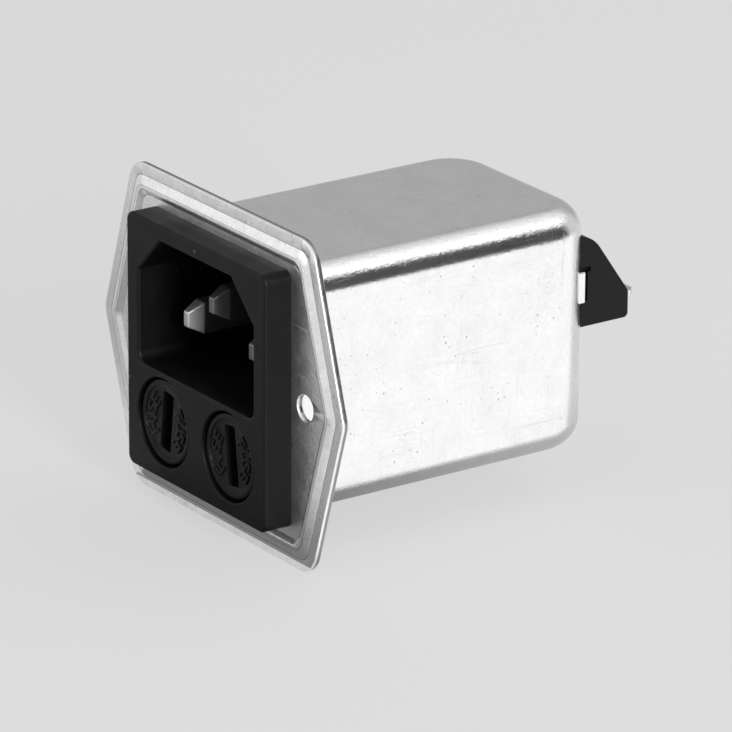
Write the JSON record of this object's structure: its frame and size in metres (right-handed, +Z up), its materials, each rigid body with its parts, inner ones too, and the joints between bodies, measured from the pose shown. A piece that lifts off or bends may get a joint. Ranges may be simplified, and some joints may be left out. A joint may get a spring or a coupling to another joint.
{
  "type": "filtered c14 power inlet with twin fuse caps",
  "caption": "Panel power inlet with a C14 recess over two coin-slot fuse caps, a beaded hexagonal flange and a drawn metal filter can with rear tabs.",
  "frame": {"origin": "midway between the two mounting holes, on the flange's rear face, which meets the panel", "axes": "+X right seen from the front, +Y into the panel along the can, +Z up"},
  "size_m": [0.0512, 0.0576, 0.0414],
  "materials": {
    "plated_flange": "nickel plated, fine mottle",
    "plated_can": "nickel plated, polished, fine scratches",
    "black_moulding": "fine spark texture",
    "block_moulding": "satin",
    "cap_moulding": "satin",
    "board_laminate": "satin",
    "choke_plastic": "satin",
    "ferrite": "matt",
    "film_capacitor": "gloss",
    "resistor_coat": "lacquer",
    "liner_film": "satin film",
    "contact_brass": "stamped",
    "tinned_brass": "tinned",
    "rivet_steel": "plated",
    "tinned_tab": "tin plated",
    "plated_pin": "nickel plated",
    "enamelled_copper": "enamelled copper",
    "ceramic_coat": "lacquer",
    "clip_bronze": "spring temper",
    "fuse_glass": "clear",
    "fuse_wire": "drawn",
    "ferrule_nickel": "bright"
  },
  "bodies": {
    "module": {"mounting_flange": "plated_flange", "shield_can": "plated_can", "inlet_housing": "black_moulding", "filter_board": "board_laminate", "choke_base": "choke_plastic", "choke_core": "ferrite", "choke_divider": "choke_plastic", "x_capacitor": "film_capacitor", "bleed_resistor": "resistor_coat", "insulating_liner": "liner_film", "earth_strap": "contact_brass", "board_earth_bracket": "tinned_brass", "earth_rivet": "rivet_steel", "terminal_block": "block_moulding", "tab_line": "tinned_tab", "tab_neutral": "tinned_tab", "tab_earth": "tinned_tab", "pin_line": "plated_pin", "pin_neutral": "plated_pin", "pin_earth": "plated_pin", "choke_winding_left": "enamelled_copper", "y_capacitor_left": "ceramic_coat", "side_contact_left": "contact_brass", "rear_contact_left": "contact_brass", "choke_winding_right": "enamelled_copper", "y_capacitor_right": "ceramic_coat", "side_contact_right": "contact_brass", "rear_contact_right": "contact_brass"},
    "fuse_left": {"fuse_glass_left": "fuse_glass", "fuse_wire_left": "fuse_wire", "front_ferrule_left": "ferrule_nickel", "rear_ferrule_left": "ferrule_nickel"},
    "cap_left": {"fuse_cap_left": "cap_moulding", "cap_clip_left": "clip_bronze"},
    "fuse_right": {"fuse_glass_right": "fuse_glass", "fuse_wire_right": "fuse_wire", "front_ferrule_right": "ferrule_nickel", "rear_ferrule_right": "ferrule_nickel"},
    "cap_right": {"fuse_cap_right": "cap_moulding", "cap_clip_right": "clip_bronze"}
  },
  "joints": [
    {"name": "fuse_left_pull", "type": "slide", "parent": "module", "child": "fuse_left", "axis": [0, -1, 0], "range_m": [0, 0.026]},
    {"name": "cap_left_turn", "type": "hinge", "parent": "fuse_left", "child": "cap_left", "pos_m": [-0.007, -0.0045, -0.00872], "axis": [0, 1, 0], "range_deg": [0, 90]},
    {"name": "fuse_right_pull", "type": "slide", "parent": "module", "child": "fuse_right", "axis": [0, -1, 0], "range_m": [0, 0.026]},
    {"name": "cap_right_turn", "type": "hinge", "parent": "fuse_right", "child": "cap_right", "pos_m": [0.007, -0.0045, -0.00872], "axis": [0, 1, 0], "range_deg": [0, 90]}
  ]
}
